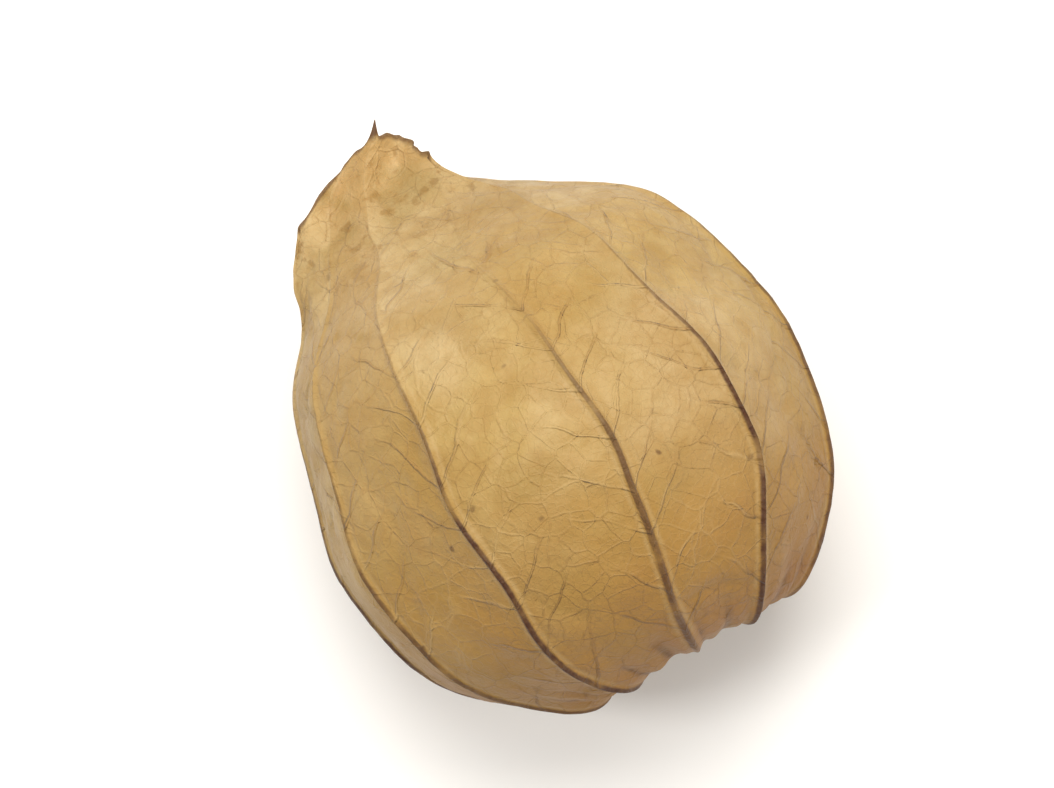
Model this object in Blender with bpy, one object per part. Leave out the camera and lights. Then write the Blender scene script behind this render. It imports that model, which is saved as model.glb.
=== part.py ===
"""A ripe physalis berry in its papery husk, as picked, lying on its side.

The row frame is in metres with +Z up. The surface that the berry lies on is z = 0, and the origin is on
that surface, right below the berry's centre. +Y runs along the husk from the stalk towards its tip.

The husk is first shaped about its own axis: "along" is the distance from the shoulder of its base towards
its tip, and an angle round the axis is 0 at the top and grows towards +X. LIE then lays it down.
"""

import math

import bmesh
import bpy
import numpy as np
from mathutils import Matrix, Vector, noise

MM = 0.001

# Driving dimensions
HUSK_RADIUS = 15.85 * MM
HUSK_LENGTH = 37.6 * MM
HUSK_WALL = 0.6 * MM
BERRY_DIAMETER = 19.0 * MM
STALK_DIAMETER = 1.3 * MM
GAP = 0.3 * MM

# The husk's outline from the hole round the stalk, over the shoulder of the base and up to the tip: its
# radius and place along the axis, as shares of the husk's, how far it leans aside, and how high it is for
# its width.
OUTLINE_STATIONS = (
    (0.084, 0.112, 0.00, 1.00),
    (0.230, 0.066, 0.00, 1.00),
    (0.430, 0.000, 0.00, 1.00),
    (0.655, 0.046, -0.01, 1.00),
    (0.900, 0.165, -0.04, 1.00),
    (1.000, 0.365, -0.04, 1.00),
    (0.940, 0.510, -0.04, 1.00),
    (0.780, 0.673, -0.05, 0.96),
    (0.560, 0.772, -0.10, 0.74),
    (0.404, 0.845, -0.20, 0.43),
    (0.320, 0.900, -0.20, 0.24),
    (0.255, 0.950, -0.11, 0.27),
    (0.110, 1.000, 0.00, 0.50),
)

# Ribs: where each runs, round from the top. The 1st, 3rd and so on lead to the tips of the five lobes, and
# the others to the notches between them.
RIB_ANGLES = tuple(math.radians(turn) for turn in (-29, 8, 39, 77, 112, 146, 181, 221, 262, 297))
RIB_HEIGHT = 0.3 * MM
RIB_HALF_WIDTH = 0.6 * MM
RIB_WIDEST_SHARE = 0.16
RIB_LOST_ON_BASE = 0.5
RIB_LOST_AT_TIP = 0.6
RIB_FADE = (0.6, 0.95)
BASE_TWIST = math.radians(-9)
BASE_TWIST_END = 10 * MM
TIP_TWIST = math.radians(30)
TIP_TWIST_RISE = (0.72, 0.90)

# How far short of the first lobe's tip the mouth's edge is, at each rib in turn. That tip is a short spike.
MOUTH_EDGE = tuple(short * MM for short in (0.0, 1.6, 3.4, 5.4, 3.2, 5.6, 3.4, 5.6, 3.2, 1.4))
TIP_SPIKE = 0.8 * MM
TIP_SPIKE_SHARE = 0.3
MOUTH_SHIFT_START = 0.62
PLEAT_DEPTH = 0.14
PLEAT_SHARPNESS = 1.5
PLEAT_RISE = (0.66, 0.90)

# How flat the wall is between ribs, how deep it sinks between them on the base's shoulder, and how far out
# from the axis the plain rim of the hole reaches, as shares of the husk's radius.
FACET_FLATNESS = 0.55
FLUTE_DEPTH = 0.12 * MM
FLUTE_END = 9 * MM
PLAIN_RIM = (0.1, 0.4)

# Dents of the dry paper, which fade towards the tip. On the base they push along the axis as well as outward.
DENT_SIZE = 9 * MM
DENT_DEPTH = 0.5 * MM
DENT_SEED = Vector((4.7, 1.3, 8.1))
DENT_FADE = (0.75, 0.95)
BASE_PUSH_OUT = 0.4
BASE_PUSH_BACK = 0.8

# How finely the husk is divided: across each of the stretches between two ribs, and along.
STRETCH_SHARES = (0.27, 0.50, 0.73)
ROWS = 34
ROW_CROWDING = 0.35

# How it lies: the axis a little above its own radius less the flat spot, with the tip raised.
AXIS_HEIGHT = 15.25 * MM
TIP_RISE = math.radians(3)

# The stalk: through the hole in the hollow of the base, then hooked down to its cut end. Its route is how far
# from the axis and how far along it each point is.
STALK_ROUTE = tuple((off * MM, along * MM) for off, along in ((0, 2.9), (0.7, 1.6), (2.1, 0.9), (3.9, 0.65)))
SEAT_RADIUS = 2.3 * MM
SEAT_THICKNESS = 0.7 * MM
SEAT_ROUNDING = (0.85, 1.0, 0.9)
SEAT_STEP = 0.01 * MM
STALK_DOWN_ANGLE = math.radians(167)
STALK_SIDES = 12
STALK_STEPS = 16
STALK_FLARE = 1.45
STALK_FLARE_END = 0.35
STALK_END_SWELL = 1.35
STALK_SWELL_START = 0.9

# The berry: a little shorter than wide, with a dimple at the stalk and the scar of its flower opposite.
BERRY_SQUASH = 0.97
BERRY_DIMPLE = 0.5 * MM
BERRY_DIMPLE_START = 0.93
BERRY_SCAR = 0.25 * MM
BERRY_SCAR_START = 0.985
BERRY_SEGMENTS = 28
BERRY_RINGS = 18

HOLE_ALONG = OUTLINE_STATIONS[0][1] * HUSK_LENGTH
SEAT_ALONG = HOLE_ALONG + HUSK_WALL + GAP
BERRY_HALF_LENGTH = BERRY_SQUASH * BERRY_DIAMETER / 2
BERRY_ALONG = SEAT_ALONG + SEAT_THICKNESS + GAP + BERRY_HALF_LENGTH - BERRY_DIMPLE
RIBS = len(RIB_ANGLES)
FEET = 2
COLUMNS = RIBS * (1 + FEET + len(STRETCH_SHARES))
LIE = (
    Matrix.Translation((0, 0, AXIS_HEIGHT))
    @ Matrix.Rotation(TIP_RISE, 4, "X")
    @ Matrix.Translation((0, -BERRY_ALONG, 0))
)


def smooth(low, high, value):
    """0 up to low, 1 from high, with an even S-shaped rise between them."""
    share = min(1.0, max(0.0, (value - low) / (high - low)))
    return share * share * (3 - 2 * share)


def smooth_curve(points, steps=16):
    """Points close together on a smooth curve through the given ones."""
    points = [np.array(point, float) for point in points]
    points = [2 * points[0] - points[1], *points, 2 * points[-1] - points[-2]]
    curve = []
    for a, b, c, d in zip(points, points[1:], points[2:], points[3:]):
        for t in np.arange(steps) / steps:
            bend = (2 * a - 5 * b + 4 * c - d) * t**2 + (3 * b - a - 3 * c + d) * t**3
            curve.append(0.5 * (2 * b + (c - a) * t + bend))
    curve.append(points[-2])
    return np.array(curve)


def measured(curve):
    """The distance along a curve to each of its points."""
    steps = np.linalg.norm(np.diff(curve, axis=0), axis=1)
    return np.concatenate([[0], np.cumsum(steps)])


OUTLINE = smooth_curve(OUTLINE_STATIONS) * np.array([HUSK_RADIUS, HUSK_LENGTH, HUSK_RADIUS, 1])
OUTLINE_REACH = measured(OUTLINE[:, :2])


def about_axis(radius, along, angle):
    """The point at that radius and angle round the husk's own axis, which is +Y."""
    return Vector((radius * math.sin(angle), along, radius * math.cos(angle)))


def rib_angle(rib):
    """Where a rib runs, counted on past the last one round to the first."""
    return RIB_ANGLES[rib % RIBS] + rib // RIBS * math.tau


def stretch_share(column, radius):
    """The rib before this column, the column's share of the way to the next one, and the angle between."""
    rib, step = divmod(column, COLUMNS // RIBS)
    turn = rib_angle(rib + 1) - rib_angle(rib)
    foot = min(RIB_WIDEST_SHARE, RIB_HALF_WIDTH / (radius * turn))
    return rib, (0.0, foot, *STRETCH_SHARES, 1 - foot)[step], turn


def on_outline(reach):
    """The radius, place along, lean and height share of the outline at that distance along it."""
    return [float(np.interp(reach, OUTLINE_REACH, column)) for column in OUTLINE.T]


def mouth_reach(rib, share):
    """How far along the outline the mouth's edge is, between a rib and the next one."""
    short = MOUTH_EDGE[rib] * (1 - share) + MOUTH_EDGE[(rib + 1) % RIBS] * share
    if rib in (0, RIBS - 1):
        from_tip = share if rib == 0 else 1 - share
        short += TIP_SPIKE * smooth(0, TIP_SPIKE_SHARE, from_tip) * (1 - from_tip)
    past_base = int(np.argmin(OUTLINE[:, 1]))
    return float(np.interp(HUSK_LENGTH - short, OUTLINE[past_base:, 1], OUTLINE_REACH[past_base:]))


def husk_point(column, row):
    """A point of the husk's outer surface, about its own axis."""
    share_up = row / (ROWS - 1)
    share_up -= ROW_CROWDING * math.sin(math.tau * share_up) / math.tau
    reach = share_up * OUTLINE_REACH[-1]
    rib, share, turn = stretch_share(column, on_outline(reach)[0])
    cut = OUTLINE_REACH[-1] - mouth_reach(rib, share)
    radius, along, lean, height_share = on_outline(reach - cut * smooth(MOUTH_SHIFT_START, 1, share_up))
    up = along / HUSK_LENGTH

    flat = math.cos(turn / 2) / math.cos((share - 0.5) * turn)
    notch_side = share if rib % 2 == 0 else 1 - share
    radius *= 1 - FACET_FLATNESS * (1 - flat)
    radius *= 1 - PLEAT_DEPTH * notch_side**PLEAT_SHARPNESS * smooth(*PLEAT_RISE, up)
    on_base = 1 - smooth(0, FLUTE_END, along)
    outside_hole = smooth(*PLAIN_RIM, radius / HUSK_RADIUS) if along < HUSK_LENGTH / 2 else 1
    flute = FLUTE_DEPTH * math.sin(math.pi * share) * on_base * outside_hole
    if share == 0:
        rib_height = RIB_HEIGHT * (1 - RIB_LOST_ON_BASE * on_base)
        rib_height *= 1 - RIB_LOST_AT_TIP * smooth(*RIB_FADE, up)
        flute -= rib_height * outside_hole
    angle = rib_angle(rib) + share * turn
    angle += BASE_TWIST * (1 - smooth(0, BASE_TWIST_END, along)) * outside_hole
    angle += TIP_TWIST * smooth(*TIP_TWIST_RISE, up)

    point = about_axis(radius, along, angle)
    outward = about_axis(1 - on_base * (1 - BASE_PUSH_OUT), -on_base * BASE_PUSH_BACK, angle)
    dent = noise.noise(point / DENT_SIZE + DENT_SEED) * DENT_DEPTH * outside_hole
    point += outward * (dent * (1 - smooth(*DENT_FADE, up)) - flute)
    return Vector((point.x + lean, point.y, point.z * height_share))


def paint(name, colour, roughness):
    """A plain material in that colour."""
    material = bpy.data.materials.new(name)
    material.use_nodes = True
    shader = material.node_tree.nodes["Principled BSDF"]
    shader.inputs["Base Color"].default_value = (*colour, 1)
    shader.inputs["Roughness"].default_value = roughness
    shader.inputs["Metallic"].default_value = 0
    material.diffuse_color = (*colour, 1)
    return material


def add_object(name, shape, material):
    """Turns a bmesh into a smooth-shaded object of that name."""
    mesh = bpy.data.meshes.new(name)
    shape.to_mesh(mesh)
    shape.free()
    mesh.materials.append(material)
    mesh.shade_smooth()
    made = bpy.data.objects.new(name, mesh)
    bpy.context.scene.collection.objects.link(made)
    return made


def build_husk():
    """The husk: a sheet rolled round its axis into a lantern, with a stalk hole and a pinched mouth."""
    sheet = bmesh.new()
    bmesh.ops.create_grid(sheet, x_segments=COLUMNS, y_segments=ROWS - 1, size=0.5)
    for corner in sheet.verts:
        column = round((corner.co.x + 0.5) * COLUMNS) % COLUMNS
        row = round((corner.co.y + 0.5) * (ROWS - 1))
        corner.co = LIE @ husk_point(column, row)
        corner.co.z = max(0.0, corner.co.z)
    bmesh.ops.remove_doubles(sheet, verts=sheet.verts, dist=1e-6)
    sheet.normal_update()
    bmesh.ops.recalc_face_normals(sheet, faces=sheet.faces)
    bmesh.ops.triangulate(sheet, faces=sheet.faces)
    husk = add_object("husk", sheet, paint("husk_paper", (0.55, 0.34, 0.12), 0.6))
    wall = husk.modifiers.new("wall", "SOLIDIFY")
    wall.thickness = HUSK_WALL
    wall.offset = -1
    return husk


def stalk_route():
    """The stalk's centre line and its radius at each point: the seat in the husk, the hole, then down."""
    down = STALK_DOWN_ANGLE
    thick = STALK_DIAMETER / 2
    bend = smooth_curve([about_axis(off, along, down) for off, along in ((0, HOLE_ALONG), *STALK_ROUTE)])
    reach = measured(bend)
    steps = np.linspace(0, reach[-1], STALK_STEPS)
    route = []
    for at in steps:
        place = Vector([float(np.interp(at, reach, bend[:, i])) for i in range(3)])
        share = at / reach[-1]
        flare = 1 + (STALK_FLARE - 1) * (1 - smooth(0, STALK_FLARE_END, share))
        swell = 1 + (STALK_END_SWELL - 1) * smooth(STALK_SWELL_START, 1, share)
        route.append((place, thick * flare * swell))
    seat = []
    for share, rounding in zip((1, 0.5, 0), SEAT_ROUNDING):
        seat.append((about_axis(0, SEAT_ALONG + SEAT_THICKNESS * share, down), SEAT_RADIUS * rounding))
    seat.append((about_axis(0, SEAT_ALONG - SEAT_STEP, down), thick * STALK_FLARE))
    return seat + route


def build_stalk():
    """The stalk: a round tube along its route that carries the seat of the berry inside the husk."""
    route = stalk_route()
    tube = bmesh.new()
    side = Vector((math.cos(STALK_DOWN_ANGLE), 0, -math.sin(STALK_DOWN_ANGLE)))
    rings = []
    for i, (place, radius) in enumerate(route):
        ahead = route[min(i + 1, len(route) - 1)][0] - route[max(i - 1, 0)][0]
        across = ahead.normalized().cross(side)
        ring = []
        for step in range(STALK_SIDES):
            turn = step * math.tau / STALK_SIDES
            off_centre = side * math.cos(turn) + across * math.sin(turn)
            ring.append(tube.verts.new(LIE @ (place + off_centre * radius)))
        rings.append(ring)
    for near, far in zip(rings, rings[1:]):
        for i in range(STALK_SIDES):
            j = (i + 1) % STALK_SIDES
            tube.faces.new((near[i], near[j], far[j], far[i]))
    tube.faces.new(rings[0])
    tube.faces.new(rings[-1])
    tube.normal_update()
    bmesh.ops.recalc_face_normals(tube, faces=tube.faces)
    return add_object("stalk", tube, paint("stalk_skin", (0.20, 0.11, 0.04), 0.7))


def build_berry():
    """The berry: a round fruit on the stalk's seat, dimpled where it sits and scarred at its far end."""
    ball = bmesh.new()
    bmesh.ops.create_uvsphere(ball, u_segments=BERRY_SEGMENTS, v_segments=BERRY_RINGS, radius=1)
    size = BERRY_DIAMETER / 2
    for corner in ball.verts:
        direction = corner.co.copy()
        along = BERRY_HALF_LENGTH * direction.z
        along += BERRY_DIMPLE * smooth(BERRY_DIMPLE_START, 1, -direction.z)
        along -= BERRY_SCAR * smooth(BERRY_SCAR_START, 1, direction.z)
        corner.co = LIE @ Vector((size * direction.x, BERRY_ALONG + along, -size * direction.y))
    return add_object("berry", ball, paint("berry_skin", (0.90, 0.32, 0.02), 0.3))


def main():
    """Clears the scene and builds the three pieces."""
    for old in list(bpy.data.objects):
        bpy.data.objects.remove(old)
    build_husk()
    build_stalk()
    build_berry()


main()
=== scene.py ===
"""The looks of a ripe physalis berry in its papery husk, lying on its side on a pale table.

Sizes are in metres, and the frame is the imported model's: +Z up, +Y along the husk towards its tip, and the
origin on the table, right below the berry's centre.
"""

import logging
import math
from dataclasses import dataclass, field
from enum import Enum
from typing import Callable, Optional, Sequence, Union

import bpy
import numpy as np
from mathutils import Matrix, Vector, noise

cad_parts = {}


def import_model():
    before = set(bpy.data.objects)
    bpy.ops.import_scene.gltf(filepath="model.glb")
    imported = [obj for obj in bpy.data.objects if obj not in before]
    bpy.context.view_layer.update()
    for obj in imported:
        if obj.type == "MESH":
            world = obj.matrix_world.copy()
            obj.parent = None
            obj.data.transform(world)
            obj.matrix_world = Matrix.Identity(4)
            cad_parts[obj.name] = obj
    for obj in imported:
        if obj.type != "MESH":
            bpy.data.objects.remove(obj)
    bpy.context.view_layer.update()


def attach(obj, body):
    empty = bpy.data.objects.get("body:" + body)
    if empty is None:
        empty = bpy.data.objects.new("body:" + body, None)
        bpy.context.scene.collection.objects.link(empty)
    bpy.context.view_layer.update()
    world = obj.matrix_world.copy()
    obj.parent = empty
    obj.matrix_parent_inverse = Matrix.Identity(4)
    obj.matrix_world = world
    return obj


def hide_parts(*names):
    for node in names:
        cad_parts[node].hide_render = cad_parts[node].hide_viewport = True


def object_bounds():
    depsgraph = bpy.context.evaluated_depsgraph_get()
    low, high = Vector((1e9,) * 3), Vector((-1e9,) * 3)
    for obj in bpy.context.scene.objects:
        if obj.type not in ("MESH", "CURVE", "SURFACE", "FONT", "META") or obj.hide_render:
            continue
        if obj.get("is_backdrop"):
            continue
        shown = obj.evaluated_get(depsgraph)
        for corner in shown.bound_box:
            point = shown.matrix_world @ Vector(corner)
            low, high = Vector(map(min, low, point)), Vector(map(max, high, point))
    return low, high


log = logging.getLogger("physalis")

MM = 0.001
MERGE_GAP = 0.001 * MM
BODY = "root"

Array = np.ndarray
Colour = tuple[float, float, float]
Socket = bpy.types.NodeSocket
Plug = Union[float, Sequence[float], Socket]


class Piece(Enum):
    """The object's pieces. Each value is the CAD node that a piece replaces."""

    HUSK = "husk"
    BERRY = "berry"
    STALK = "stalk"


class RibKind(Enum):
    """Where a rib of the husk leads, and how strongly it stands out there."""

    LOBE = 1.0
    NOTCH = 0.8


def srgb(*screen: int) -> Colour:
    """Turns a colour as a screen shows it into the linear values that shaders take.

    Args:
        screen: How red, green and blue it is, 0 to 255.

    Returns:
        The three linear values, 0 to 1.
    """
    shares = (value / 255 for value in screen)
    return tuple(s / 12.92 if s <= 0.04045 else ((s + 0.055) / 1.055) ** 2.4 for s in shares)


def smooth(low: float, high: float, value: Array) -> Array:
    """An even S-shaped rise.

    Args:
        low: Up to here the result is 0.
        high: From here on it is 1.
        value: The numbers to look up.

    Returns:
        The share for each number.
    """
    share = np.clip((np.asarray(value, float) - low) / (high - low), 0, 1)
    return share * share * (3 - 2 * share)


def smooth_curve(points: Sequence[Sequence[float]], steps: int = 16) -> Array:
    """Draws a smooth curve through points.

    Args:
        points: The points, each with any number of coordinates.
        steps: How many short steps there are from one to the next.

    Returns:
        Points close together along the curve, one to a row.
    """
    rows = [np.array(point, float) for point in points]
    rows = [2 * rows[0] - rows[1], *rows, 2 * rows[-1] - rows[-2]]
    curve = []
    for a, b, c, d in zip(rows, rows[1:], rows[2:], rows[3:]):
        for t in np.arange(steps) / steps:
            bend = (2 * a - 5 * b + 4 * c - d) * t**2 + (3 * b - a - 3 * c + d) * t**3
            curve.append(0.5 * (2 * b + (c - a) * t + bend))
    curve.append(rows[-2])
    return np.array(curve)


def wander(points: Array, size: float, seed: float) -> Array:
    """Smooth noise at points, which repeats each run.

    Args:
        points: The points, one to a row, in metres.
        size: How far apart its highs and lows are, in metres.
        seed: Picks which noise.

    Returns:
        A number from about -1 to 1 for each point.
    """
    shift = Vector((seed, seed * 0.37 + 1.3, seed * 1.71 + 8.1))
    return np.array([noise.noise(Vector(point) / size + shift) for point in points])


@dataclass(frozen=True)
class Ripple:
    """One layer of smooth noise that shapes the paper.

    Attributes:
        size: How far apart its highs and lows are, in metres.
        depth: How far it moves the surface at most, in metres.
        seed: Picks which noise.
        width: For a crease, how wide its line is as a share of the noise's range.
    """

    size: float
    depth: float
    seed: float
    width: float = 1.0

    def swing(self, points: Array) -> Array:
        """How far each point moves, one way or the other."""
        return self.depth * wander(points, self.size, self.seed)

    def crease(self, points: Array) -> Array:
        """How deep each point is in the lines where the noise crosses its middle."""
        return self.depth * (1 - smooth(0.0, self.width, np.abs(wander(points, self.size, self.seed))))


def deselect_all() -> None:
    """Leaves edit mode if it is on, and selects nothing."""
    if bpy.context.mode != "OBJECT":
        bpy.ops.object.mode_set(mode="OBJECT")
    bpy.ops.object.select_all(action="DESELECT")


def make_active(made: bpy.types.Object) -> None:
    """Selects one object alone and makes it the active one."""
    deselect_all()
    made.select_set(True)
    bpy.context.view_layer.objects.active = made


def select_points(made: bpy.types.Object, wanted: Callable[[Vector], bool]) -> None:
    """Selects the points of a mesh by their place and enters edit mode.

    Args:
        made: The mesh object.
        wanted: Says whether the point at that place is selected.
    """
    make_active(made)
    bpy.ops.object.mode_set(mode="EDIT")
    bpy.ops.mesh.select_mode(type="VERT")
    bpy.ops.mesh.select_all(action="DESELECT")
    bpy.ops.object.mode_set(mode="OBJECT")
    for point in made.data.vertices:
        point.select = wanted(point.co)
    bpy.ops.object.mode_set(mode="EDIT")


def apply_modifiers(made: bpy.types.Object) -> None:
    """Applies all of an object's modifiers in their order."""
    make_active(made)
    for modifier in list(made.modifiers):
        bpy.ops.object.modifier_apply(modifier=modifier.name)


def weld(made: bpy.types.Object) -> None:
    """Joins the points of a mesh that fall together and turns its faces outward."""
    select_points(made, lambda place: True)
    bpy.ops.mesh.remove_doubles(threshold=MERGE_GAP)
    bpy.ops.mesh.normals_make_consistent(inside=False)
    deselect_all()


def hold(made: bpy.types.Object, name: str, values: Sequence[float]) -> None:
    """Keeps one number for each point of a mesh, which a material reads under that name."""
    held = made.data.attributes.new(name, "FLOAT", "POINT")
    held.data.foreach_set("value", np.asarray(values, np.float32))


def hand_over(made: bpy.types.Object, piece: Piece, finish: bpy.types.Material) -> None:
    """Gives a piece its finish and puts it in the place of its CAD node.

    Args:
        made: The piece, at the origin, with its place in its mesh.
        piece: Which of the object's pieces it is.
        finish: Its material.
    """
    made.data.shade_smooth()
    made.data.materials.clear()
    made.data.materials.append(finish)
    made.name = f"{piece.value}_dressed"
    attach(made, BODY)
    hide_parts(piece.value)
    log.info("%s: %d points", made.name, len(made.data.vertices))


class Graph:
    """A material's nodes. Each method adds one node and returns the socket that carries its result."""

    def __init__(self, name: str) -> None:
        """Makes a material of that name with nothing in it but its output."""
        self.material = bpy.data.materials.new(name)
        self.material.use_nodes = True
        self.tree = self.material.node_tree
        self.tree.nodes.clear()
        self.output = self.tree.nodes.new("ShaderNodeOutputMaterial")
        self.place = self.node("ShaderNodeTexCoord").outputs["Object"]

    def node(self, kind: str, inputs: Optional[dict] = None, **settings: object) -> bpy.types.Node:
        """Adds a node.

        Args:
            kind: Blender's name for its kind.
            inputs: What goes into its sockets, by name or number. A value of None leaves one as it is.
            settings: Its other settings.

        Returns:
            The node.
        """
        made = self.tree.nodes.new(kind)
        for name, value in settings.items():
            setattr(made, name, value)
        for name, value in (inputs or {}).items():
            if value is not None:
                self.plug(made.inputs[name], value)
        return made

    def plug(self, socket: Socket, value: Plug) -> None:
        """Gives an input a number or a colour, or links another node's output to it."""
        if isinstance(value, Socket):
            self.tree.links.new(value, socket)
        elif socket.type == "RGBA" and len(value) == 3:
            socket.default_value = (*value, 1)
        else:
            socket.default_value = value

    def number(self, attribute: str) -> Socket:
        """Reads a number that the mesh holds at its points."""
        return self.node("ShaderNodeAttribute", attribute_name=attribute).outputs["Fac"]

    def math(self, operation: str, *values: Plug, clamp: bool = False) -> Socket:
        """Works out one sum.

        Args:
            operation: Blender's name for it, such as MULTIPLY.
            values: The numbers that go in.
            clamp: Whether the result is kept within 0 and 1.

        Returns:
            The result's socket.
        """
        made = self.node("ShaderNodeMath", dict(enumerate(values)), operation=operation, use_clamp=clamp)
        return made.outputs[0]

    def times(self, first: Plug, *others: Plug) -> Socket:
        """Multiplies numbers by one another, in their order."""
        for other in others:
            first = self.math("MULTIPLY", first, other)
        return first

    def band(self, value: Plug, low: float, high: float, start: float = 0, end: float = 1) -> Socket:
        """An even S-shaped change from one number to another.

        Args:
            value: What is looked up.
            low: The value where the change starts.
            high: The value where it ends.
            start: The result up to low.
            end: The result from high.

        Returns:
            The result's socket.
        """
        numbers = {"Value": value, "From Min": low, "From Max": high, "To Min": start, "To Max": end}
        return self.node("ShaderNodeMapRange", numbers, interpolation_type="SMOOTHSTEP").outputs["Result"]

    def blend(self, share: Plug, first: Plug, second: Plug, mode: str = "MIX") -> Socket:
        """Mixes two colours.

        Args:
            share: How much of the second, 0 to 1.
            first: The colour underneath.
            second: The colour on top.
            mode: Blender's name for how they mix.

        Returns:
            The mixed colour's socket.
        """
        colours = {0: share, 6: first, 7: second}
        made = self.node("ShaderNodeMix", colours, data_type="RGBA", blend_type=mode, clamp_factor=True)
        return made.outputs[2]

    def cloud(self, size: float, detail: float = 3, place: Plug = None, rough: float = 0.5) -> Socket:
        """Smooth noise, 0 to 1.

        Args:
            size: How far apart its highs and lows are, in metres.
            detail: How many finer layers it has.
            place: Where it is looked up, the object's own place if not given.
            rough: How strong the finer layers are.

        Returns:
            The noise's socket.
        """
        place = self.place if place is None else place
        numbers = {"Vector": place, "Scale": 1 / size, "Detail": detail, "Roughness": rough}
        return self.node("ShaderNodeTexNoise", numbers).outputs["Fac"]

    def cells(self, size: float, place: Plug, to_edge: bool = True) -> Socket:
        """Irregular cells.

        Args:
            size: How wide a cell is, in metres.
            place: Where they are looked up.
            to_edge: Whether the result is the distance to the cell's edge, and otherwise to its centre.

        Returns:
            The distance's socket, as a share of the cell's size.
        """
        feature = "DISTANCE_TO_EDGE" if to_edge else "F1"
        made = self.node("ShaderNodeTexVoronoi", {"Vector": place, "Scale": 1 / size}, feature=feature)
        return made.outputs["Distance"]

    def shaken(self, size: float, far: float) -> Socket:
        """The object's own place, moved about by noise.

        Args:
            size: How far apart the noise's highs and lows are, in metres.
            far: How far it moves a point, in metres.

        Returns:
            The moved place's socket.
        """
        wobble = self.node("ShaderNodeTexNoise", {"Vector": self.place, "Scale": 1 / size, "Detail": 1.0})
        moves = {0: wobble.outputs["Color"], 1: (far, far, far), 2: self.place}
        return self.node("ShaderNodeVectorMath", moves, operation="MULTIPLY_ADD").outputs[0]

    def bump(self, height: Plug, depth: float, under: Plug = None) -> Socket:
        """Small relief.

        Args:
            height: The relief, 0 to 1.
            depth: How high 1 is, in metres.
            under: Other relief that this one adds to.

        Returns:
            The normal's socket.
        """
        relief = {"Height": height, "Distance": depth, "Normal": under}
        return self.node("ShaderNodeBump", relief).outputs["Normal"]

    def skin(self, **values: Plug) -> Socket:
        """Adds the main shader, each value under its socket's name with _ for a space."""
        inputs = {name.replace("_", " "): value for name, value in values.items()}
        return self.node("ShaderNodeBsdfPrincipled", inputs).outputs["BSDF"]

    def close(self, shader: Socket) -> bpy.types.Material:
        """Links the finished shader to the output and returns the material."""
        self.tree.links.new(shader, self.output.inputs["Surface"])
        return self.material


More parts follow.
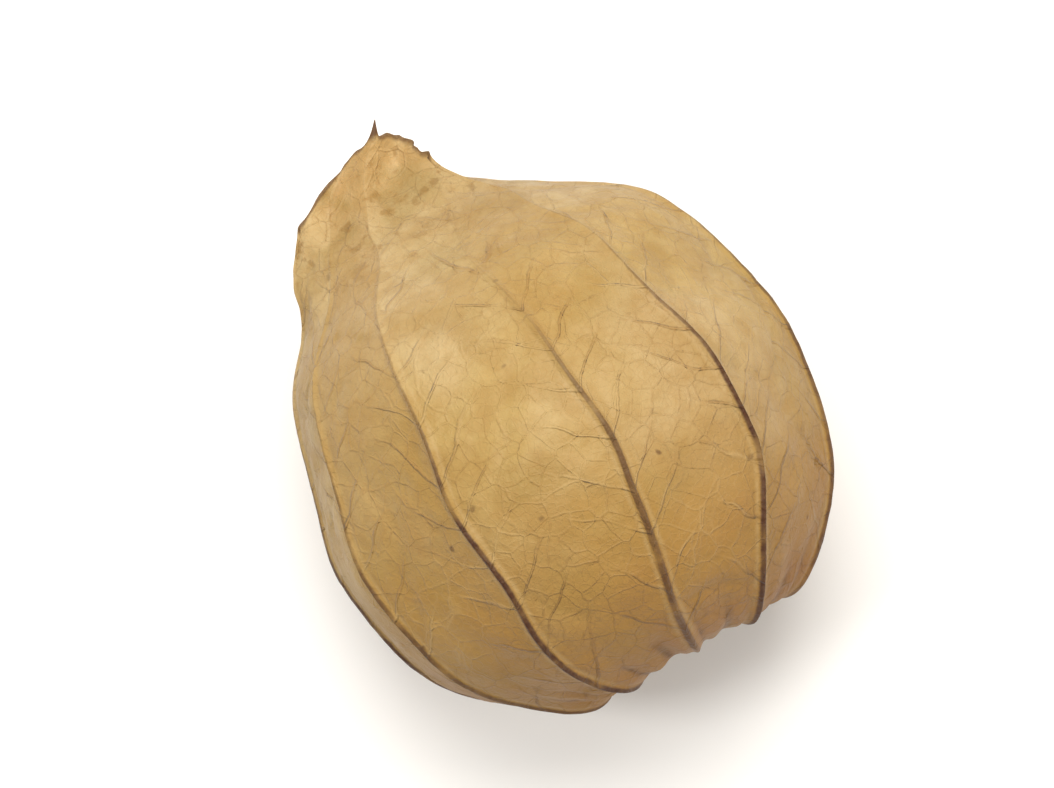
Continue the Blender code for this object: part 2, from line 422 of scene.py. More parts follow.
@dataclass(frozen=True)
class HuskPaper:
    """The finish of the husk: dry, thin, veined leaf that some light passes through."""

    straw: Colour = srgb(193, 162, 94)
    pale: Colour = srgb(209, 184, 132)
    tan: Colour = srgb(168, 127, 56)
    rosy: Colour = srgb(153, 98, 43)
    olive: Colour = srgb(150, 124, 54)
    olive_brown: Colour = srgb(136, 100, 44)
    rib_brown: Colour = srgb(70, 36, 8)
    vein_brown: Colour = srgb(164, 120, 64)
    vein_pale: Colour = srgb(216, 184, 124)
    dry_brown: Colour = srgb(92, 62, 32)
    glow: Colour = srgb(236, 189, 112)
    see_through: float = 0.34
    side_vein_spacing_mm: float = 3.1
    side_vein_slope: float = 0.85
    net_size: float = 1.7 * MM
    fine_net_size: float = 0.62 * MM
    vein_strengths: tuple = (0.10, 0.14, 0.36)
    vein_heights: tuple = (0.012 * MM, 0.03 * MM, 0.08 * MM)
    grain_size: float = 0.35 * MM
    grain_height: float = 0.055 * MM
    crumple_size: float = 1.7 * MM
    crumple_height: float = 0.22 * MM
    roughness: tuple = (0.52, 0.72)

    def ground(self, g: Graph, run: Plug) -> Plug:
        """The leaf's colour, paler towards the tip and tan and redder towards the base.

        Args:
            g: The material's nodes.
            run: How far along a point is from the base's shoulder, in millimetres, negative in its hollow.

        Returns:
            The colour.
        """
        near_base = g.math("SUBTRACT", run, g.times(g.cloud(7 * MM, 3), 12.0))
        colour = g.blend(g.band(g.cloud(11 * MM, 2), 0.35, 0.68), self.straw, self.pale)
        colour = g.blend(g.band(near_base, 13, -2, 0, 0.9), colour, self.tan)
        colour = g.blend(g.band(near_base, 3, -8, 0, 0.8), colour, self.rosy)
        colour = g.blend(g.band(run, 22, 34, 0, 0.7), colour, self.pale)
        return g.blend(g.band(g.number("panel_tone"), 0, 1, 0, 0.4), colour, self.tan)

    def stained(self, g: Graph, colour: Plug, run: Plug) -> Plug:
        """Adds olive stains, most of them towards the tip, and a fine mottling all over.

        Args:
            g: The material's nodes.
            colour: The colour underneath.
            run: How far along a point is, in millimetres.

        Returns:
            The stained colour.
        """
        patches = g.band(g.cloud(4 * MM, 3), 0.5, 0.66)
        colour = g.blend(g.times(patches, g.band(run, 27, 35, 0.18, 0.5)), colour, self.olive)
        spots = g.band(g.cloud(1.3 * MM, 3, rough=0.65), 0.54, 0.64)
        colour = g.blend(g.times(spots, g.band(run, 27, 33, 0.06, 0.55)), colour, self.olive_brown)
        colour = g.blend(g.band(g.cloud(3.2 * MM, 3, rough=0.6), 0.42, 0.62, 0, 0.32), colour, self.tan)
        return g.blend(g.band(g.cloud(1.1 * MM, 3, rough=0.65), 0.3, 0.75, 0, 0.3), colour, self.tan)

    def side_veins(self, g: Graph, run: Plug, rib_gap: Plug) -> Plug:
        """The veins that branch off the ribs and climb towards the middle of each panel.

        Args:
            g: The material's nodes.
            run: How far along a point is, in millimetres.
            rib_gap: How far it is from the nearest rib, in millimetres.

        Returns:
            How strong a vein is there, 0 to 1.
        """
        climb = g.math("SUBTRACT", run, g.times(rib_gap, self.side_vein_slope))
        wobble = g.times(g.cloud(6.5 * MM, 2), 3.2)
        wobble = g.math("ADD", wobble, g.times(g.cloud(1.6 * MM, 2), 0.5))
        half = self.side_vein_spacing_mm / 2
        wave = g.math("PINGPONG", g.math("ADD", g.math("ADD", climb, wobble), 60.0), half)
        return g.times(
            g.band(wave, half - 0.17, half - 0.02),
            g.band(g.number("mid_panel"), 0.45, 0.95, 1, 0.12),
            g.band(run, 27, 33, 1, 0.25),
            g.band(g.cloud(3.5 * MM, 2), 0.36, 0.56, 0.25, 1),
        )

    def ribbed(self, g: Graph, colour: Plug, run: Plug, rib_gap: Plug) -> Plug:
        """Draws the brown ribs with a band of painted shade and a pale painted highlight along each, and
        painted shade in the bottoms of the base's folds.

        Args:
            g: The material's nodes.
            colour: The colour underneath.
            run: How far along a point is, in millimetres.
            rib_gap: How far it is from the nearest rib, in millimetres.

        Returns:
            The colour with the ribs on it.
        """
        uneven = g.band(g.cloud(0.8 * MM, 3), 0.3, 0.6, 0.3, 1)
        # Painted shade: a tan band along each rib, stronger towards the base.
        shade = g.times(g.band(rib_gap, 0.15, 1.1, 0.32, 0), g.band(run, 28, 8, 0.1, 1), uneven)
        colour = g.blend(shade, colour, self.tan)
        # Painted highlight: a pale line next to each rib, where the raised rib would catch the light.
        painted_rib_highlight = g.times(g.band(rib_gap, 0.25, 0.4), g.band(rib_gap, 0.4, 0.7, 0.25, 0))
        painted_rib_highlight = g.times(painted_rib_highlight, g.band(run, -0.5, 1.5), uneven, g.band(run, 30, 12))
        colour = g.blend(painted_rib_highlight, colour, self.pale)

        width = g.times(g.band(run, 32, 5, 0.5, 1.7), g.band(run, 1, -3, 1, 0.6))
        edge = g.math("ADD", rib_gap, g.times(g.cloud(0.4 * MM, 3), 0.09))
        core = g.band(g.math("DIVIDE", edge, width), 0.12, 0.20, 1, 0)
        patchy = g.band(g.cloud(2.6 * MM, 2), 0.30, 0.52, 0.45, 1)
        core = g.times(core, g.band(run, 30, 12, 0.1, 1), patchy, g.number("rib_strength"))
        brown = g.blend(g.band(g.cloud(0.5 * MM, 3), 0.4, 0.65), self.rib_brown, self.dry_brown)
        colour = g.blend(core, colour, brown)

        # Painted shade: dark brown streaks in the bottoms of the base's folds.
        painted_pleat_shade = g.times(g.number("pleat"), g.band(run, 2.6, 0.4, 0, 0.7), uneven, g.band(run, -1.2, 0))
        return g.blend(painted_pleat_shade, colour, self.rib_brown)

    def dried(self, g: Graph, colour: Plug, run: Plug) -> Plug:
        """Adds the dry specks, the brown margin of the mouth and the brown spike at the tip.

        Args:
            g: The material's nodes.
            colour: The colour underneath.
            run: How far along a point is, in millimetres.

        Returns:
            The colour with the dry parts on it.
        """
        specks = g.band(g.cells(2.3 * MM, g.shaken(1.5 * MM, 1.0 * MM), to_edge=False), 0.05, 0.13, 0.7, 0)
        specks = g.times(specks, g.band(g.cloud(5 * MM, 2), 0.5, 0.62))
        colour = g.blend(specks, colour, self.dry_brown)
        margin = g.math("SUBTRACT", g.number("edge_gap_mm"), g.times(g.cloud(1.2 * MM, 3), 0.6))
        colour = g.blend(g.band(margin, 0.25, -0.2, 0, 0.8), colour, self.dry_brown)
        return g.blend(g.band(run, 36.4, 36.9), colour, self.dry_brown)

    def lit_through(self, g: Graph, leaf: Plug, colour: Plug, normal: Plug) -> Plug:
        """Lets some of the light on the far side of the leaf through it.

        Args:
            g: The material's nodes.
            leaf: The shader of the leaf itself.
            colour: The leaf's colour.
            normal: The leaf's relief.

        Returns:
            The shader that does both.
        """
        lit = {"Color": g.blend(0.5, colour, self.glow), "Normal": normal}
        through = g.node("ShaderNodeBsdfTranslucent", lit).outputs[0]
        return g.node("ShaderNodeMixShader", {0: self.see_through, 1: leaf, 2: through}).outputs[0]

    def material(self) -> bpy.types.Material:
        """Builds the husk's material, which reads the numbers that Husk leaves at the mesh's points."""
        g = Graph("husk_paper")
        run = g.number("run_mm")
        rib_gap = g.number("rib_gap_mm")
        colour = self.stained(g, self.ground(g, run), run)

        side = self.side_veins(g, run, rib_gap)
        net = g.band(g.cells(self.net_size, g.shaken(2.4 * MM, 1.1 * MM)), 0.0, 0.055, 1, 0)
        fine_net = g.band(g.cells(self.fine_net_size, g.shaken(0.9 * MM, 0.35 * MM)), 0.0, 0.08, 1, 0)
        vein = g.blend(g.band(run, 16, 3, 0, 0.7), self.vein_brown, self.rib_brown)
        vein = g.blend(g.band(g.cloud(9 * MM, 2), 0.48, 0.66), vein, self.vein_pale)
        for lines, strength in zip((fine_net, net, side), self.vein_strengths):
            shown = g.times(lines, g.band(run, 14, 3, strength, strength * 1.3))
            colour = g.blend(shown, colour, vein)
        colour = self.dried(g, self.ribbed(g, colour, run, rib_gap), run)

        relief = g.bump(g.cloud(self.grain_size, 3, rough=0.6), self.grain_height)
        relief = g.bump(g.cloud(self.crumple_size, 4, rough=0.6), self.crumple_height, relief)
        for lines, height in zip((fine_net, net, side), self.vein_heights):
            relief = g.bump(lines, height, relief)
        leaf = g.skin(
            Base_Color=colour,
            Roughness=g.band(g.cloud(3 * MM, 3), 0.3, 0.7, *self.roughness),
            Specular_IOR_Level=0.42,
            Sheen_Weight=0.12,
            Sheen_Roughness=0.5,
            Coat_Weight=0.06,
            Coat_Roughness=0.25,
            Normal=relief,
        )
        return g.close(self.lit_through(g, leaf, colour, relief))


@dataclass(frozen=True)
class BerrySkin:
    """The finish of the berry: smooth, waxy, ripe orange skin with pale pips of colour under it."""

    orange: Colour = srgb(244, 142, 20)
    deep: Colour = srgb(226, 96, 12)
    yellow: Colour = srgb(252, 184, 60)
    scar_brown: Colour = srgb(120, 74, 30)

    def material(self) -> bpy.types.Material:
        """Builds the berry's material."""
        g = Graph("berry_skin")
        colour = g.blend(g.band(g.cloud(6 * MM, 3), 0.35, 0.7), self.orange, self.deep)
        dots = g.band(g.cells(0.9 * MM, g.shaken(1 * MM, 0.5 * MM), to_edge=False), 0.1, 0.32, 0.5, 0)
        colour = g.blend(dots, colour, self.yellow)
        colour = g.blend(g.number("scar"), colour, self.scar_brown)
        skin = g.skin(
            Base_Color=colour,
            Roughness=g.band(g.cloud(2 * MM, 3), 0.3, 0.7, 0.2, 0.34),
            Subsurface_Weight=0.45,
            Subsurface_Radius=(3.0 * MM, 1.2 * MM, 0.4 * MM),
            Subsurface_Scale=1.0,
            Coat_Weight=0.35,
            Coat_Roughness=0.12,
            Normal=g.bump(g.cloud(0.5 * MM, 3), 0.02 * MM),
        )
        return g.close(skin)


@dataclass(frozen=True)
class StalkBark:
    """The finish of the stalk: dried, grooved, brown with a green cast, and pale pith where it is cut."""

    brown: Colour = srgb(128, 96, 52)
    green: Colour = srgb(130, 118, 62)
    dark: Colour = srgb(78, 54, 28)
    pith: Colour = srgb(214, 192, 142)

    def material(self) -> bpy.types.Material:
        """Builds the stalk's material."""
        g = Graph("stalk_bark")
        lengthways = g.node("ShaderNodeMapping", {"Vector": g.place, "Scale": (1.0, 1.0, 0.16)})
        fibres = g.cloud(0.28 * MM, 4, lengthways.outputs[0], 0.6)
        colour = g.blend(g.band(g.cloud(3 * MM, 3), 0.35, 0.65), self.brown, self.green)
        colour = g.blend(g.band(fibres, 0.4, 0.68, 0, 0.75), colour, self.dark)
        colour = g.blend(g.number("cut"), colour, self.pith)
        skin = g.skin(
            Base_Color=colour,
            Roughness=g.band(fibres, 0.3, 0.7, 0.62, 0.85),
            Specular_IOR_Level=0.35,
            Normal=g.bump(fibres, 0.09 * MM),
        )
        return g.close(skin)


@dataclass
class Lie:
    """How the fruit lies: where the husk's own axis is, and how far its tip is raised."""

    axis_height: float = 15.25 * MM
    tip_rise: float = math.radians(3)
    berry_along: float = 14.83 * MM

    def matrix(self) -> Matrix:
        """The move from the husk's own frame, with +Y along its axis from its base, to the row frame."""
        rise = Matrix.Rotation(self.tip_rise, 4, "X")
        under_berry = Matrix.Translation((0, -self.berry_along, 0))
        return Matrix.Translation((0, 0, self.axis_height)) @ rise @ under_berry


@dataclass
class SheetPoints:
    """The points of the husk's sheet, each value one number to a point.

    Attributes:
        rib: The rib before the point, counted round.
        share: How far it is from that rib to the next.
        turn: The angle between those two ribs.
        end: How far along the outline the mouth's edge is in its column.
        reach: How far along the outline the point is.
        radius: The outline's radius there.
        along: The outline's place along the axis there.
        up: The same as a share of the husk's length.
        lean: How far aside the outline is there.
        height_share: How high the husk is there for its width.
        outside: Whether the point is past the base's shoulder, and so out of its hollow.
        near_mouth: 0 on most of the husk, rising to 1 at the mouth.
    """

    rib: Array
    share: Array
    turn: Array
    end: Array
    reach: Array
    radius: Array
    along: Array
    up: Array
    lean: Array
    height_share: Array
    outside: Array
    near_mouth: Array

    def __post_init__(self) -> None:
        """Works out what follows from where the points are."""
        self.rib_gap = np.minimum(self.share, 1 - self.share) * self.turn * self.radius
        self.notch_side = np.where(self.rib % 2 == 0, self.share, 1 - self.share)
        self.rib_strength = np.where(self.notch_side < 0.5, RibKind.LOBE.value, RibKind.NOTCH.value)


@dataclass
class Husk:
    """The husk: one thin sheet in the form of a ten-ribbed lantern, open in a pinched mouth of five lobes."""

    lie: Lie
    radius: float = 15.85 * MM
    length: float = 37.6 * MM
    wall: float = 0.22 * MM
    stations: tuple = (
        (0.064, 0.112, 0.00, 1.00),
        (0.230, 0.066, 0.00, 1.00),
        (0.430, 0.000, 0.00, 1.00),
        (0.655, 0.046, -0.01, 1.00),
        (0.900, 0.165, -0.04, 1.00),
        (1.000, 0.365, -0.04, 1.00),
        (0.940, 0.510, -0.04, 1.00),
        (0.780, 0.673, -0.05, 0.96),
        (0.560, 0.772, -0.10, 0.74),
        (0.404, 0.845, -0.20, 0.39),
        (0.320, 0.900, -0.20, 0.18),
        (0.255, 0.950, -0.11, 0.14),
        (0.090, 1.000, 0.00, 0.35),
    )
    rib_turns: tuple = (-29, 8, 39, 77, 112, 146, 181, 221, 262, 297)
    rib_height: float = 0.34 * MM
    rib_half_width: float = 0.21 * MM
    rib_rim: tuple = (0.07, 0.2)
    rib_fade: tuple = (0.55, 0.95)
    rib_lost_at_tip: float = 0.6
    rib_lost_on_base: float = 0.2
    base_twist: float = math.radians(-9)
    base_twist_end: float = 10 * MM
    tip_twist: float = math.radians(30)
    tip_twist_rise: tuple = (0.72, 0.90)
    mouth_edge: tuple = (0.0, 1.6, 3.4, 5.4, 3.2, 5.6, 3.4, 5.6, 3.2, 1.4)
    tip_spike: float = 0.75 * MM
    lobe_spike: float = 0.15 * MM
    spike_rise: tuple = (0.04, 0.28)
    nibble_depth: float = 0.12 * MM
    upper_lip: float = 0.6
    lower_lip: float = 0.35
    mouth_rise: tuple = (0.84, 0.97)
    lip_wave: Ripple = Ripple(3.6 * MM, 0.7 * MM, 31.0)
    lip_wave_aside: Ripple = Ripple(4.4 * MM, 0.4 * MM, 37.0)
    fold_height: float = 0.38 * MM
    fold_spacing: float = 3.8 * MM
    fold_rise: tuple = (0.74, 0.95)
    tip_crumple: Ripple = Ripple(2.4 * MM, 0.4 * MM, 43.0)
    tip_crumple_aside: Ripple = Ripple(2.1 * MM, 0.3 * MM, 41.0)
    tip_crumple_rise: tuple = (0.72, 0.86)
    rib_sway: float = math.radians(0.9)
    sway_lengths: tuple = (2.9 * MM, 1.4 * MM)
    sway_rise: tuple = (0.02, 0.2)
    mouth_shift_start: float = 0.62
    pleat_depth: float = 0.17
    pleat_sharpness: float = 1.5
    pleat_rise: tuple = (0.66, 0.90)
    facet_flatness: float = 0.55
    flute_depth: float = 0.12 * MM
    flute_end: float = 9 * MM
    plain_rim: tuple = (0.12, 0.42)
    base_push_out: float = 0.4
    base_push_back: float = 0.8
    pucker_depth: float = 0.24 * MM
    pucker_ends: tuple = (4.5 * MM, 9 * MM)
    puckers_per_panel: int = 3
    dent_size: float = 9 * MM
    dent_depth: float = 0.5 * MM
    dent_seed: tuple = (4.7, 1.3, 8.1)
    dent_fade: tuple = (0.75, 0.95)
    calm_beside_rib: tuple = (0.2 * MM, 1.6 * MM)
    crease: Ripple = Ripple(7.5 * MM, 0.2 * MM, 11.0, 0.07)
    fine_crease: Ripple = Ripple(3.1 * MM, 0.08 * MM, 13.0, 0.12)
    wrinkle: Ripple = Ripple(2.4 * MM, 0.13 * MM, 17.0)
    fine_wrinkle: Ripple = Ripple(0.9 * MM, 0.045 * MM, 23.0)
    quilt_height: float = 0.10 * MM
    quilt_rise: tuple = (0.02, 0.12)
    quilt_wave: Ripple = Ripple(7 * MM, 1.6 * MM, 5.0)
    panel_tones: tuple = (0.1, 0.5, 0.0, 0.25, 0.6, 0.2, 0.7, 0.4, 0.15, 0.8)
    columns_per_stretch: int = 28
    rows: int = 156
    row_crowding: float = 0.35
    column_crowding: float = 0.6
    paper: HuskPaper = field(default_factory=HuskPaper)

    def __post_init__(self) -> None:
        """Works out the outline, and how far along it each of its points is."""
        self.ribs = len(self.rib_turns)
        self.columns = self.ribs * self.columns_per_stretch
        self.outline = smooth_curve(self.stations) * np.array([self.radius, self.length, self.radius, 1])
        steps = np.linalg.norm(np.diff(self.outline[:, :2], axis=0), axis=1)
        self.reach = np.concatenate([[0], np.cumsum(steps)])
        self.past_base = int(np.argmin(self.outline[:, 1]))

    def rib_angle(self, rib: Array) -> Array:
        """The angle at which a rib runs, from the top towards +X."""
        return np.radians(self.rib_turns)[rib % self.ribs] + rib // self.ribs * math.tau

    def sway(self, rib: Array, along: Array) -> Array:
        """How far a rib strays from its course at that place along the axis, as an angle."""
        start = 2.1 * (rib % self.ribs)
        long_wave = np.sin(along / self.sway_lengths[0] + start)
        short_wave = 0.5 * np.sin(along / self.sway_lengths[1] + 2 * start)
        return self.rib_sway * (long_wave + short_wave)

    def on_outline(self, reach: Array) -> list[Array]:
        """The radius, place along the axis, lean and height share at that distance along the outline."""
        return [np.interp(reach, self.reach, column) for column in self.outline.T]

    def mouth_reach(self, rib: Array, share: Array) -> Array:
        """How far along the outline the mouth's edge is.

        Args:
            rib: The rib before each column.
            share: How far the column is from it to the next rib.

        Returns:
            The distance along the outline, in metres.
        """
        edge = np.array(self.mouth_edge) * MM
        short = edge[rib] * (1 - share) + edge[(rib + 1) % self.ribs] * share
        from_lobe = np.where(rib % 2 == 0, share, 1 - share)
        first = (rib == 0) | (rib == self.ribs - 1)
        spike = np.where(first, self.tip_spike, self.lobe_spike) * smooth(*self.spike_rise, from_lobe)
        nibble = self.nibble_depth * np.sin(rib * 2.4 + share * 7) * np.sin(share * math.pi)
        bite = spike * (1 - from_lobe) + nibble
        past = slice(self.past_base, None)
        return np.interp(self.length - short - bite, self.outline[past, 1], self.reach[past])

    def spread(self, column: Array, row: Array) -> SheetPoints:
        """Finds where on the outline the points of the sheet go.

        Args:
            column: Each point's column, counted round from the first rib.
            row: Each point's row, counted from the stalk to the mouth.

        Returns:
            The points, closer together at the ribs, the hole and the mouth.
        """
        rib, step = np.divmod(column, self.columns_per_stretch)
        share = step / self.columns_per_stretch
        share = share - self.column_crowding * np.sin(math.tau * share) / math.tau
        up_share = row / (self.rows - 1)
        up_share = up_share - self.row_crowding * np.sin(math.tau * up_share) / math.tau
        end = self.mouth_reach(rib, share)
        reach = up_share * self.reach[-1]
        reach = reach - (self.reach[-1] - end) * smooth(self.mouth_shift_start, 1, up_share)
        radius, along, lean, height_share = self.on_outline(reach)
        return SheetPoints(
            rib=rib,
            share=share,
            turn=self.rib_angle(rib + 1) - self.rib_angle(rib),
            end=end,
            reach=reach,
            radius=radius,
            along=along,
            up=along / self.length,
            lean=lean,
            height_share=height_share,
            outside=reach > self.reach[self.past_base],
            near_mouth=smooth(*self.mouth_rise, along / self.length),
        )

    def on_base(self, at: SheetPoints) -> Array:
        """1 on the base's shoulder and in its hollow, falling to 0 along the husk's side."""
        return 1 - smooth(0, self.flute_end, at.along)

    def off_stalk(self, at: SheetPoints) -> Array:
        """1 on the husk's outside, falling to 0 in the hollow at the hole round the stalk."""
        return np.where(at.outside, 1, smooth(*self.plain_rim, at.radius / self.radius))

    def width(self, at: SheetPoints) -> Array:
        """How far from the axis each point is: flatter between ribs, and drawn in at the notches."""
        flat = np.cos(at.turn / 2) / np.cos((at.share - 0.5) * at.turn)
        width = at.radius * (1 - self.facet_flatness * (1 - flat))
        pleat = self.pleat_depth * at.notch_side**self.pleat_sharpness * smooth(*self.pleat_rise, at.up)
        return width * (1 - pleat)

    def angle(self, at: SheetPoints) -> Array:
        """The angle round the axis of each point, with the twists and the sway of the ribs."""
        angle = self.rib_angle(at.rib) + at.share * at.turn
        angle = angle + self.base_twist * (1 - smooth(0, self.base_twist_end, at.along)) * self.off_stalk(at)
        angle = angle + self.tip_twist * smooth(*self.tip_twist_rise, at.up)
        sway = self.sway(at.rib, at.along) * (1 - at.share) + self.sway(at.rib + 1, at.along) * at.share
        return angle + sway * np.where(at.outside, smooth(*self.sway_rise, at.up) * (1 - at.near_mouth), 0)

    def ridges(self, at: SheetPoints) -> Array:
        """How far the ribs stand out of the wall, in metres."""
        near_hole = np.where(at.outside, 1, smooth(*self.rib_rim, at.radius / self.radius))
        ridge = self.rib_height * at.rib_strength * np.exp(-((at.rib_gap / self.rib_half_width) ** 2))
        on_base = 1 - self.rib_lost_on_base * self.on_base(at)
        at_tip = 1 - self.rib_lost_at_tip * smooth(*self.rib_fade, at.up)
        return ridge * near_hole * (on_base * at_tip)

    def puckers(self, at: SheetPoints) -> tuple[Array, Array]:
        """The small folds where the base is drawn in round the stalk.

        Args:
            at: The points of the sheet.

        Returns:
            How deep each point is in a fold, in metres, and how near it is to the fold's bottom, 0 to 1,
            where the material paints shade.
        """
        wave = at.share * math.tau * self.puckers_per_panel + at.rib * 2.3 + np.sin(at.share * 5 + at.rib)
        fold = np.cos(wave) * 0.5 + 0.5
        fade = smooth(0, 0.2, at.share) * smooth(1, 0.8, at.share)
        end = np.where(at.outside, *self.pucker_ends)
        depth = self.pucker_depth * fold * fade * (1 - smooth(0, end, at.along)) * self.off_stalk(at)
        return depth, np.clip(fold * 9 - 8, 0, 1) * fade

    def pinched(self, points: Array, at: SheetPoints, angle: Array) -> Array:
        """Presses the tip flat, folds its lips lengthways and leans it aside.

        Args:
            points: The points about the husk's own axis.
            at: Where they are on the sheet.
            angle: Where they are round the axis.

        Returns:
            The pinched points.
        """
        fold = self.fold_height * np.cos(points[:, 0] / self.fold_spacing * math.tau)
        lip = np.where(np.cos(angle) < 0, self.lower_lip, self.upper_lip)
        points[:, 2] *= at.height_share * (1 + (lip - 1) * at.near_mouth)
        points[:, 2] += smooth(*self.fold_rise, at.up) * fold
        points[:, 2] += at.near_mouth * self.lip_wave.swing(points)
        points[:, 0] += at.lean + at.near_mouth * self.lip_wave_aside.swing(points)
        crumpled = smooth(*self.tip_crumple_rise, at.up)
        points[:, 0] += crumpled * self.tip_crumple_aside.swing(points)
        points[:, 2] += crumpled * self.tip_crumple.swing(points)
        return points

    def surface(self, column: Array, row: Array) -> tuple[Array, dict[str, Array]]:
        """The husk's outer surface.

        Args:
            column: Each point's column, counted round from the first rib.
            row: Each point's row, counted from the stalk to the mouth.

        Returns:
            The points about the husk's own axis, and the numbers that its material reads.
        """
        at = self.spread(column, row)
        angle = self.angle(at)
        width = self.width(at)
        points = np.stack([width * np.sin(angle), at.along, width * np.cos(angle)], axis=1)
        on_base = self.on_base(at)
        out = 1 - (1 - self.base_push_out) * on_base
        back = -self.base_push_back * on_base
        outward = np.stack([out * np.sin(angle), back, out * np.cos(angle)], axis=1)
        off_stalk = self.off_stalk(at)
        pucker_depth, pleat = self.puckers(at)
        relief = self.ridges(at) - self.flute_depth * np.sin(math.pi * at.share) * on_base * off_stalk
        relief = relief - pucker_depth + self.crumple(points, at) * off_stalk
        points = self.pinched(points + outward * relief[:, None], at, angle)
        tones = np.array(self.panel_tones)
        numbers = {
            "run_mm": np.where(at.outside, at.along, -at.along) / MM,
            "rib_gap_mm": at.rib_gap / MM,
            "edge_gap_mm": (at.end - at.reach) / MM,
            "rib_strength": at.rib_strength,
            "mid_panel": 2 * np.minimum(at.share, 1 - at.share),
            "panel_tone": np.where(at.share == 0, (tones[at.rib] + tones[at.rib - 1]) / 2, tones[at.rib]),
            # pleat: how near a point is to the bottom of a fold of the base, where the material paints shade.
            "pleat": pleat,
        }
        return points, numbers

    def crumple(self, points: Array, at: SheetPoints) -> Array:
        """The dents, creases and wrinkles of the dry paper.

        Args:
            points: The smooth surface, about the husk's own axis.
            at: Where its points are on the sheet.

        Returns:
            How far each point stands out of the smooth surface, in metres.
        """
        calm = smooth(*self.calm_beside_rib, at.rib_gap)
        dent = [noise.noise(Vector(p) / self.dent_size + Vector(self.dent_seed)) for p in points]
        relief = np.array(dent) * self.dent_depth * (1 - smooth(*self.dent_fade, at.up))
        creases = self.crease.crease(points) + self.fine_crease.crease(points)
        relief = relief + (self.wrinkle.swing(points) - creases) * calm + self.fine_wrinkle.swing(points)
        climb = at.along - self.paper.side_vein_slope * at.rib_gap + self.quilt_wave.swing(points)
        quilt = np.abs(np.sin(climb / (self.paper.side_vein_spacing_mm * MM) * math.pi))
        return relief + self.quilt_height * quilt * calm * smooth(*self.quilt_rise, at.up)

    def build(self) -> bpy.types.Object:
        """Models the husk from a flat sheet that is rolled round its axis.

        Returns:
            The finished piece in its place.
        """
        deselect_all()
        bpy.ops.mesh.primitive_grid_add(x_subdivisions=self.columns, y_subdivisions=self.rows - 1, size=1)
        husk = bpy.context.object
        flat = np.zeros(len(husk.data.vertices) * 3)
        husk.data.vertices.foreach_get("co", flat)
        flat = flat.reshape(-1, 3)
        column = np.rint((flat[:, 0] + 0.5) * self.columns).astype(int) % self.columns
        row = np.rint((flat[:, 1] + 0.5) * (self.rows - 1)).astype(int)
        points, numbers = self.surface(column, row)
        lie = np.array(self.lie.matrix())
        points = points @ lie[:3, :3].T + lie[:3, 3]
        points[:, 2] = np.maximum(points[:, 2], 0)
        husk.data.vertices.foreach_set("co", points.ravel())
        for name, values in numbers.items():
            hold(husk, name, values)
        husk.data.update()
        weld(husk)
        wall = husk.modifiers.new("wall", "SOLIDIFY")
        wall.thickness = self.wall
        wall.offset = -1
        apply_modifiers(husk)
        hand_over(husk, Piece.HUSK, self.paper.material())
        return husk


@dataclass
class Berry:
    """The berry: a round fruit, a little shorter than wide, pressed in at the stalk and scarred opposite."""

    lie: Lie
    diameter: float = 19.0 * MM
    squash: float = 0.97
    dimple: float = 0.5 * MM
    dimple_spread: float = math.radians(20)
    scar_depth: float = 0.25 * MM
    scar_spread: float = math.radians(9)
    scar_radius: float = 0.8 * MM
    skin: BerrySkin = field(default_factory=BerrySkin)

    def press_in(self, berry: bpy.types.Object, end: int, depth: float, spread: float) -> None:
        """Presses a small round hollow into one end.

        Args:
            berry: The ball, with its ends at +Z and -Z.
            end: 1 for the far end, -1 for the stalk's.
            depth: How deep the hollow is.
            spread: How far from the end it starts, as an angle.
        """
        rings = 4
        for ring in range(rings, 0, -1):
            limit = math.cos(spread * ring / rings) * self.diameter / 2 * self.squash
            select_points(berry, lambda place: place.z * end > limit)
            bpy.ops.transform.translate(value=(0, 0, -end * depth / rings))

    def build(self) -> bpy.types.Object:
        """Models the berry.

        Returns:
            The finished piece in its place.
        """
        deselect_all()
        bpy.ops.mesh.primitive_uv_sphere_add(segments=96, ring_count=64, radius=self.diameter / 2)
        berry = bpy.context.object
        select_points(berry, lambda place: True)
        bpy.ops.transform.resize(value=(1, 1, self.squash))
        self.press_in(berry, -1, self.dimple, self.dimple_spread)
        self.press_in(berry, 1, self.scar_depth, self.scar_spread)
        deselect_all()
        places = [point.co for point in berry.data.vertices]
        off_axis = np.array([math.hypot(place.x, place.y) for place in places])
        far_half = np.array([place.z > 0 for place in places])
        hold(berry, "scar", far_half * (1 - smooth(0.5, 1.0, off_axis / self.scar_radius)))
        upright = Matrix.Rotation(math.radians(-90), 4, "X")
        place = Matrix.Translation((0, self.lie.berry_along, 0))
        berry.data.transform(self.lie.matrix() @ place @ upright)
        hand_over(berry, Piece.BERRY, self.skin.material())
        return berry


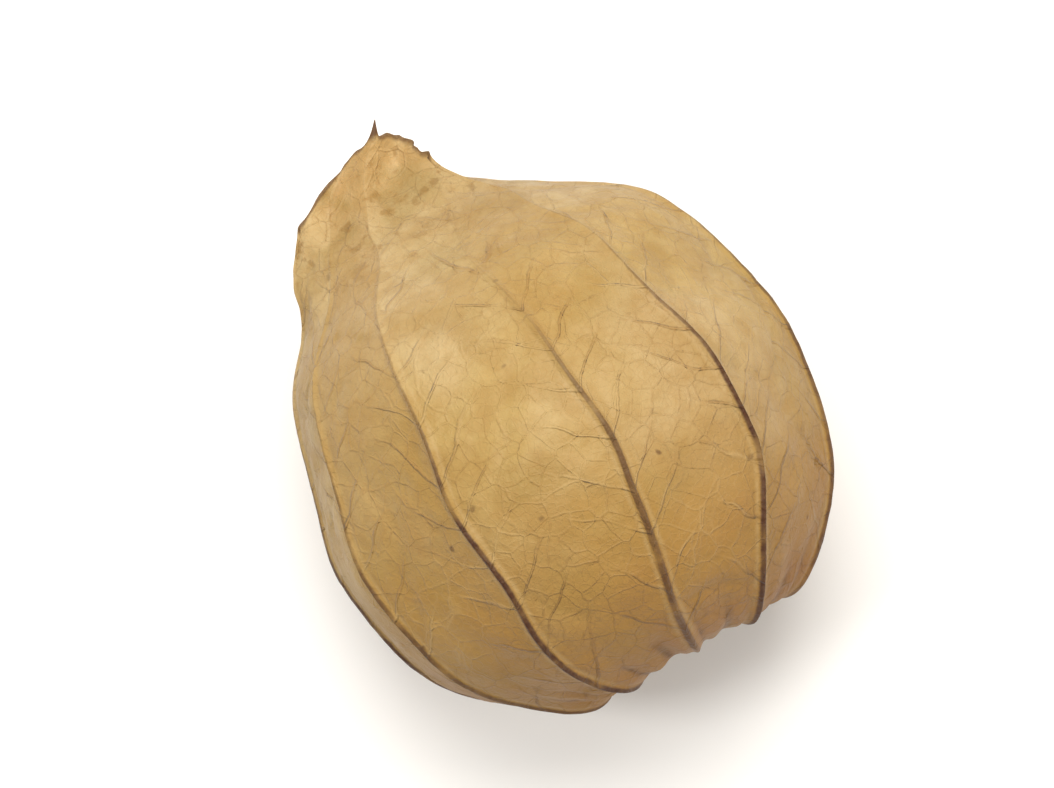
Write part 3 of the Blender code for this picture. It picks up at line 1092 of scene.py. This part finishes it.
@dataclass
class Stalk:
    """The stalk: from the seat inside the husk through the hole in its base, then hooked down to its end."""

    lie: Lie
    diameter: float = 1.3 * MM
    hole_along: float = 4.21 * MM
    bend_mm: tuple = ((0, 2.9), (0.7, 1.6), (2.1, 0.9), (3.9, 0.65))
    seat_radius: float = 2.3 * MM
    seat_thickness: float = 0.7 * MM
    seat_gap: float = 0.9 * MM
    seat_rounding: tuple = (0.85, 1.0, 0.9)
    down_angle: float = math.radians(167)
    flare: float = 1.45
    flare_end: float = 0.35
    end_swell: float = 1.35
    swell_start: float = 0.9
    cut_depth: float = 0.02 * MM
    bark: StalkBark = field(default_factory=StalkBark)

    def about_axis(self, radius: float, along: float) -> Vector:
        """The point at that distance from the husk's axis on the side where the stalk hangs."""
        return Vector((radius * math.sin(self.down_angle), along, radius * math.cos(self.down_angle)))

    def route(self) -> list[tuple[Vector, float]]:
        """The stalk's centre line and its radius at each point, from the seat to the cut end."""
        thick = self.diameter / 2
        corners = [self.about_axis(off * MM, along * MM) for off, along in self.bend_mm]
        bend = smooth_curve([self.about_axis(0, self.hole_along), *corners], steps=10)
        seat_along = self.hole_along + self.seat_gap
        made = []
        for share, rounding in zip((1, 0.5, 0), self.seat_rounding):
            place = self.about_axis(0, seat_along + self.seat_thickness * share)
            made.append((place, self.seat_radius * rounding))
        for index, place in enumerate(bend):
            share = index / (len(bend) - 1)
            swell = 1 + (self.flare - 1) * (1 - smooth(0, self.flare_end, share))
            swell = swell * (1 + (self.end_swell - 1) * smooth(self.swell_start, 1, share))
            made.append((Vector(place), float(thick * swell)))
        return made

    def build(self) -> bpy.types.Object:
        """Models the stalk as a bent round bar of changing thickness.

        Returns:
            The finished piece in its place.
        """
        deselect_all()
        bpy.ops.curve.primitive_bezier_curve_add()
        stalk = bpy.context.object
        curve = stalk.data
        curve.splines.clear()
        line = curve.splines.new("POLY")
        lie = self.lie.matrix()
        route = [(lie @ place, radius) for place, radius in self.route()]
        line.points.add(len(route) - 1)
        for point, (place, radius) in zip(line.points, route):
            point.co = (*place, 1)
            point.radius = radius / MM
        curve.dimensions = "3D"
        curve.bevel_depth = MM
        curve.bevel_resolution = 6
        curve.use_fill_caps = True
        make_active(stalk)
        bpy.ops.object.convert(target="MESH")
        stalk = bpy.context.object
        weld(stalk)
        end = route[-1][0]
        ahead = (end - route[-2][0]).normalized()
        on_cut = [(point.co - end).dot(ahead) > -self.cut_depth for point in stalk.data.vertices]
        hold(stalk, "cut", on_cut)
        hand_over(stalk, Piece.STALK, self.bark.material())
        return stalk


@dataclass(frozen=True)
class Lamp:
    """A square soft lamp that looks at the fruit: where it hangs, how wide and how bright it is, in watts."""

    name: str
    place: tuple[float, float, float]
    size: float
    power: float
    colour: Colour
    aim: tuple[float, float, float] = (0, 0, 12 * MM)

    def hang(self) -> None:
        """Adds the lamp to the scene."""
        bpy.ops.object.light_add(type="AREA", location=self.place)
        lamp = bpy.context.object
        lamp.name = self.name
        lamp.data.size = self.size
        lamp.data.energy = self.power
        lamp.data.color = self.colour
        lamp.rotation_euler = (Vector(self.aim) - Vector(self.place)).to_track_quat("-Z", "Y").to_euler()


@dataclass
class Studio:
    """The pale table, the soft lights and the camera, which looks down as the photograph does."""

    azimuth: float = -31.0
    elevation: float = 88.0
    lens: float = 280.0
    distance: float = 0.5
    table_size: float = 2.0
    table_grey: Colour = srgb(238, 236, 232)
    sky: Colour = (0.97, 0.98, 1.0)
    sky_strength: float = 0.60
    lamps: tuple[Lamp, ...] = (
        Lamp("key", (0.13, 0.25, 0.60), 0.40, 4.3, (1.0, 0.98, 0.95)),
        Lamp("overhead", (-0.22, 0.10, 0.55), 0.10, 1.0, (1.0, 1.0, 1.0)),
        Lamp("fill", (0.40, -0.30, 0.26), 0.40, 0.9, (1.0, 0.90, 0.74)),
    )

    def table(self) -> None:
        """Lays the pale table just under the fruit."""
        deselect_all()
        bpy.ops.mesh.primitive_plane_add(size=self.table_size, location=(0, 0, -0.02 * MM))
        table = bpy.context.object
        table.name = "table"
        g = Graph("table_pale")
        table.data.materials.append(g.close(g.skin(Base_Color=self.table_grey, Roughness=0.6)))
        table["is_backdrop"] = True

    def lights(self) -> None:
        """Hangs the lamps and sets the sky's even light."""
        world = bpy.data.worlds.new("studio")
        world.use_nodes = True
        sky = world.node_tree.nodes["Background"]
        sky.inputs["Color"].default_value = (*self.sky, 1)
        sky.inputs["Strength"].default_value = self.sky_strength
        bpy.context.scene.world = world
        for lamp in self.lamps:
            lamp.hang()

    def camera(self) -> None:
        """Makes the camera at the photograph's viewing angle."""
        low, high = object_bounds()
        target = (low + high) / 2
        turn, rise = math.radians(self.azimuth), math.radians(self.elevation)
        back = Vector((math.sin(turn) * math.cos(rise), -math.cos(turn) * math.cos(rise), math.sin(rise)))
        bpy.ops.object.camera_add(location=target + back * self.distance)
        camera = bpy.context.object
        camera.rotation_euler = (-back).to_track_quat("-Z", "Y").to_euler()
        camera.data.lens = self.lens
        camera.data.clip_start = 0.005
        bpy.context.scene.camera = camera

    def build(self) -> None:
        """Sets up the whole studio."""
        self.table()
        self.lights()
        self.camera()
        bpy.context.scene.view_settings.view_transform = "Standard"


def main() -> None:
    """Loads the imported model, dresses each of its pieces and sets up the studio."""
    logging.basicConfig(level=logging.INFO, format="%(name)s: %(message)s")
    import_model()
    lie = Lie()
    Stalk(lie).build()
    Berry(lie).build()
    Husk(lie).build()
    Studio().build()


if __name__ == "__main__":
    main()
